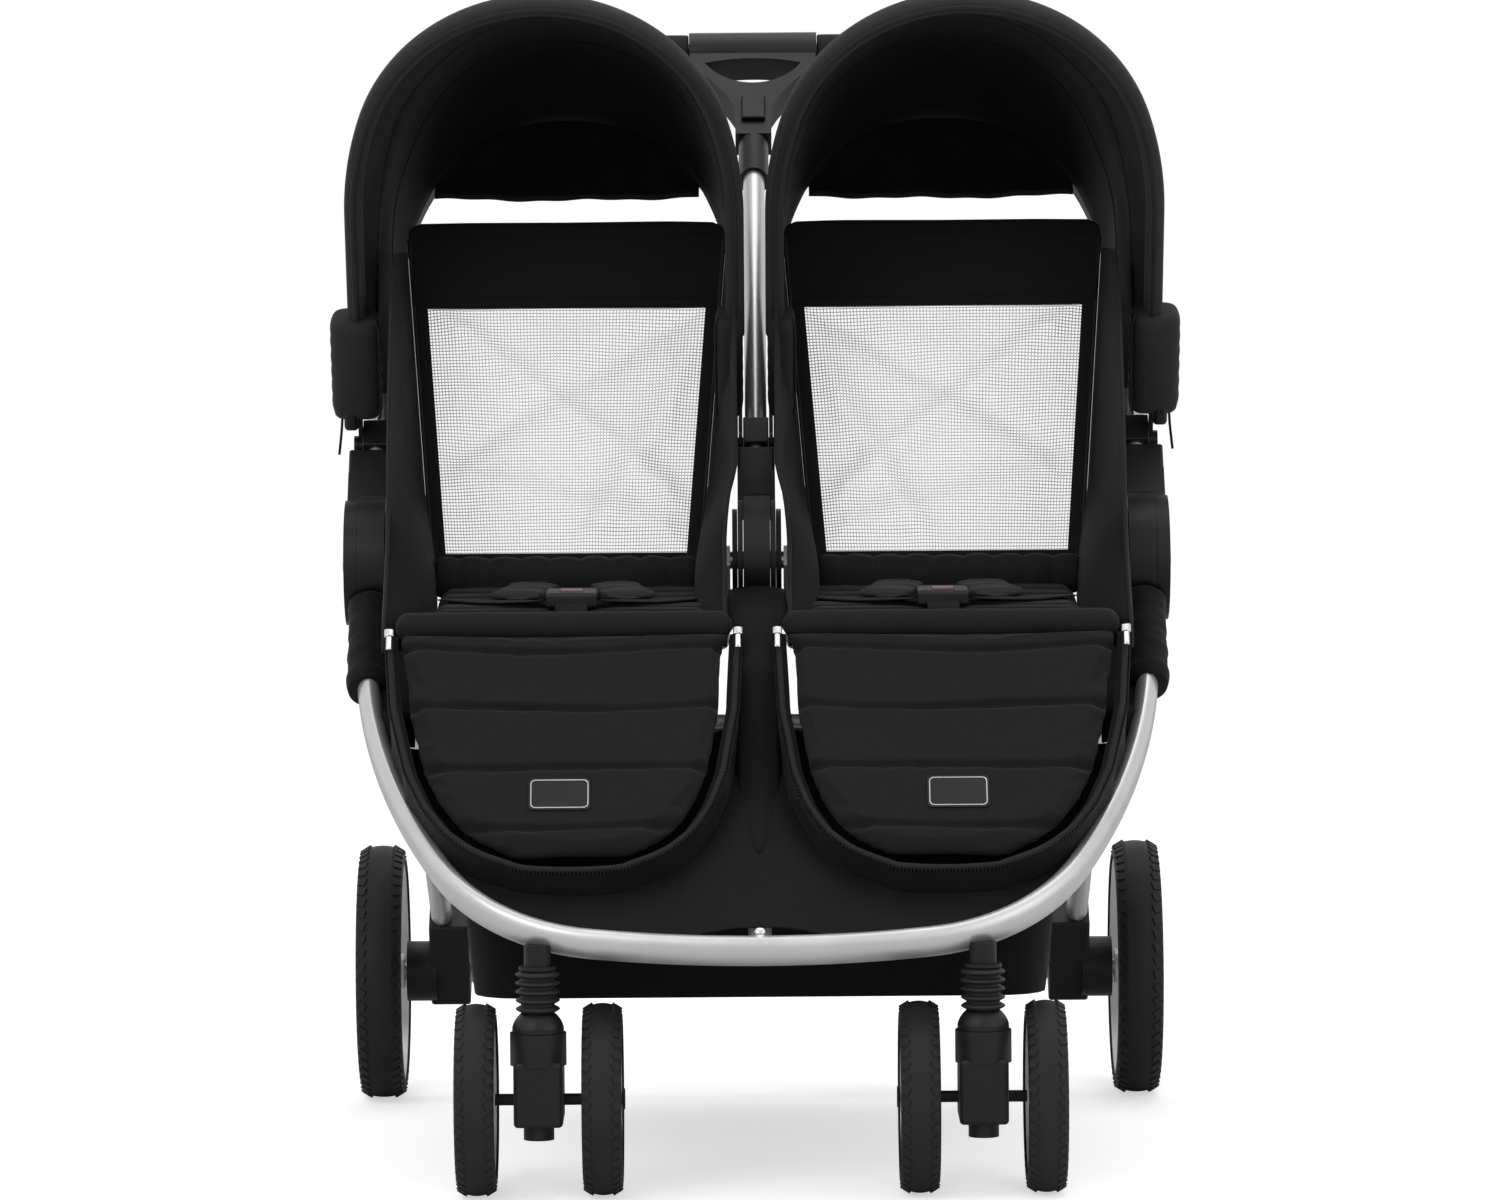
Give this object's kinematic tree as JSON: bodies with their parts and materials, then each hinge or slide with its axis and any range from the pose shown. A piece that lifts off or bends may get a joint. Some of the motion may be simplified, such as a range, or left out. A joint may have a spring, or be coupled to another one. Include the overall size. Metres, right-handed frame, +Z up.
{
  "type": "side by side double stroller",
  "caption": "Side by side double stroller with folding tube frame, reclining mesh-backed seats, twin canopies, sprung swivel casters and a sliding push handle.",
  "frame": {"origin": "on the ground under the middle of the stroller's outline", "axes": "+Z up, front at -Y, +X to the right seen from the front"},
  "size_m": [0.7498, 0.912, 1.0199],
  "materials": {
    "frame_silver": "satin",
    "black_plastic": "satin",
    "steel": "satin",
    "black_fabric": "matte",
    "pad_fabric": "matte",
    "grey_fabric": "matte",
    "grip_foam": "matte",
    "rubber": "matte",
    "tyre": "matte",
    "rim": "satin",
    "red_plastic": "gloss",
    "badge": "satin"
  },
  "bodies": {
    "front_frame": {"front_hoop": "frame_silver", "front_centre_tube": "frame_silver", "seat_bar": "frame_silver", "hub_housings": "black_plastic", "fold_pins": "steel", "seat_frames": "steel", "seat_pad_left": "pad_fabric", "seat_pad_right": "pad_fabric", "calf_pad_left": "pad_fabric", "calf_pad_right": "pad_fabric", "leg_panel": "black_fabric", "badge_plates": "badge", "caster_brackets": "black_plastic", "bellows": "rubber", "harness_pads": "grey_fabric", "buckles": "black_plastic", "basket": "black_fabric", "side_wings": "black_fabric"},
    "buckle_key_left": {"buckle_button_left": "red_plastic"},
    "buckle_key_right": {"buckle_button_right": "red_plastic"},
    "push_frame": {"push_tubes": "frame_silver", "push_knuckles": "black_plastic", "height_collars": "black_plastic", "canopy_clamps": "black_plastic"},
    "handlebar": {"handle_tubes": "frame_silver", "handle_grips": "grip_foam", "grip_cover": "black_plastic", "handle_bracket": "black_plastic"},
    "height_key": {"height_button": "black_plastic"},
    "rear_frame": {"rear_knuckles": "black_plastic", "rear_legs": "frame_silver", "axle_tube": "frame_silver", "wheel_housings": "black_plastic", "rear_axle_pins": "steel"},
    "pedal": {"brake_pedal": "black_plastic"},
    "back_hinge": {"back_hinge_rods": "steel"},
    "canopy_rear_left": {"canopy_rear_bow_left": "black_plastic", "canopy_fabric_left": "black_fabric"},
    "canopy_front_left": {"canopy_front_bow_left": "black_plastic"},
    "back_left": {"backrest_left": "black_fabric"},
    "stem_left": {"caster_stem_left": "black_plastic"},
    "fork_left": {"caster_fork_left": "black_plastic"},
    "canopy_rear_right": {"canopy_rear_bow_right": "black_plastic", "canopy_fabric_right": "black_fabric"},
    "canopy_front_right": {"canopy_front_bow_right": "black_plastic"},
    "back_right": {"backrest_right": "black_fabric"},
    "stem_right": {"caster_stem_right": "black_plastic"},
    "fork_right": {"caster_fork_right": "black_plastic"},
    "front_wheel_left_outer": {"front_tyre_left_outer": "tyre", "front_rim_left_outer": "rim"},
    "front_wheel_left_inner": {"front_tyre_left_inner": "tyre", "front_rim_left_inner": "rim"},
    "rear_wheel_left": {"rear_tyre_left": "tyre", "rear_rim_left": "rim"},
    "front_wheel_right_outer": {"front_tyre_right_outer": "tyre", "front_rim_right_outer": "rim"},
    "front_wheel_right_inner": {"front_tyre_right_inner": "tyre", "front_rim_right_inner": "rim"},
    "rear_wheel_right": {"rear_tyre_right": "tyre", "rear_rim_right": "rim"}
  },
  "joints": [
    {"name": "handle_fold", "type": "hinge", "parent": "front_frame", "child": "push_frame", "pos_m": [0, 0, 0.517], "axis": [1, 0, 0], "range_deg": [0, 135], "deforming": ["side_wings"]},
    {"name": "rear_fold", "type": "hinge", "parent": "front_frame", "child": "rear_frame", "pos_m": [0, 0, 0.517], "axis": [1, 0, 0], "range_deg": [-60, 0], "deforming": ["basket"]},
    {"name": "handle_height", "type": "slide", "parent": "push_frame", "child": "handlebar", "axis": [0, 0.6926, 0.7213], "range_m": [0, 0.075]},
    {"name": "height_button_press", "type": "slide", "parent": "handlebar", "child": "height_key", "axis": [0, 0.7213, -0.6926], "range_m": [0, 0.003], "stiffness_N_per_m": 600},
    {"name": "brake_pedal_press", "type": "hinge", "parent": "rear_frame", "child": "pedal", "pos_m": [0, 0.24575, 0.11754], "axis": [1, 0, 0], "range_deg": [-20, 0]},
    {"name": "canopy_tilt_left", "type": "hinge", "parent": "push_frame", "child": "canopy_rear_left", "pos_m": [-0.1853, 0.09649, 0.61747], "axis": [1, 0, 0], "range_deg": [-36, 0], "deforming": ["canopy_fabric_left"]},
    {"name": "canopy_fold_left", "type": "hinge", "parent": "canopy_rear_left", "child": "canopy_front_left", "pos_m": [-0.1853, 0.09649, 0.61747], "axis": [1, 0, 0], "range_deg": [-55, 0], "deforming": ["canopy_fabric_left"]},
    {"name": "canopy_tilt_right", "type": "hinge", "parent": "push_frame", "child": "canopy_rear_right", "pos_m": [0.1853, 0.09649, 0.61747], "axis": [1, 0, 0], "range_deg": [-36, 0], "deforming": ["canopy_fabric_right"]},
    {"name": "canopy_fold_right", "type": "hinge", "parent": "canopy_rear_right", "child": "canopy_front_right", "pos_m": [0.1853, 0.09649, 0.61747], "axis": [1, 0, 0], "range_deg": [-55, 0], "deforming": ["canopy_fabric_right"]},
    {"name": "back_fold", "type": "hinge", "parent": "front_frame", "child": "back_hinge", "pos_m": [0, 0.022, 0.5], "axis": [1, 0, 0], "range_deg": [0, 106]},
    {"name": "recline_left", "type": "hinge", "parent": "back_hinge", "child": "back_left", "pos_m": [-0.172, 0.022, 0.5], "axis": [1, 0, 0], "range_deg": [-45, 0], "deforming": ["side_wings"]},
    {"name": "suspension_left", "type": "slide", "parent": "front_frame", "child": "stem_left", "axis": [0, 0, 1], "range_m": [0, 0.012], "stiffness_N_per_m": 12000, "deforming": ["bellows"]},
    {"name": "swivel_left", "type": "hinge", "parent": "stem_left", "child": "fork_left", "pos_m": [-0.189, -0.404, 0.13], "axis": [0, 0, 1], "continuous": true},
    {"name": "front_spin_left_outer", "type": "hinge", "parent": "fork_left", "child": "front_wheel_left_outer", "pos_m": [-0.243, -0.374, 0.082], "axis": [1, 0, 0], "continuous": true},
    {"name": "front_spin_left_inner", "type": "hinge", "parent": "fork_left", "child": "front_wheel_left_inner", "pos_m": [-0.135, -0.374, 0.082], "axis": [1, 0, 0], "continuous": true},
    {"name": "rear_spin_left", "type": "hinge", "parent": "rear_frame", "child": "rear_wheel_left", "pos_m": [-0.3515, 0.24575, 0.11754], "axis": [1, 0, 0], "continuous": true},
    {"name": "buckle_press_left", "type": "slide", "parent": "front_frame", "child": "buckle_key_left", "axis": [0, 0.0607, -0.9982], "range_m": [0, 0.003], "stiffness_N_per_m": 400},
    {"name": "recline_right", "type": "hinge", "parent": "back_hinge", "child": "back_right", "pos_m": [0.172, 0.022, 0.5], "axis": [1, 0, 0], "range_deg": [-45, 0], "deforming": ["side_wings"]},
    {"name": "suspension_right", "type": "slide", "parent": "front_frame", "child": "stem_right", "axis": [0, 0, 1], "range_m": [0, 0.012], "stiffness_N_per_m": 12000, "deforming": ["bellows"]},
    {"name": "swivel_right", "type": "hinge", "parent": "stem_right", "child": "fork_right", "pos_m": [0.189, -0.404, 0.13], "axis": [0, 0, 1], "continuous": true},
    {"name": "front_spin_right_outer", "type": "hinge", "parent": "fork_right", "child": "front_wheel_right_outer", "pos_m": [0.243, -0.374, 0.082], "axis": [1, 0, 0], "continuous": true},
    {"name": "front_spin_right_inner", "type": "hinge", "parent": "fork_right", "child": "front_wheel_right_inner", "pos_m": [0.135, -0.374, 0.082], "axis": [1, 0, 0], "continuous": true},
    {"name": "rear_spin_right", "type": "hinge", "parent": "rear_frame", "child": "rear_wheel_right", "pos_m": [0.3515, 0.24575, 0.11754], "axis": [1, 0, 0], "continuous": true},
    {"name": "buckle_press_right", "type": "slide", "parent": "front_frame", "child": "buckle_key_right", "axis": [0, 0.0607, -0.9982], "range_m": [0, 0.003], "stiffness_N_per_m": 400}
  ],
  "couplings": [
    {"joint": "rear_fold", "follows": "handle_fold", "ratio": -0.44444},
    {"joint": "canopy_tilt_left", "follows": "handle_fold", "ratio": -0.26667},
    {"joint": "canopy_tilt_right", "follows": "handle_fold", "ratio": -0.26667},
    {"joint": "back_fold", "follows": "handle_fold", "ratio": 0.78519}
  ]
}
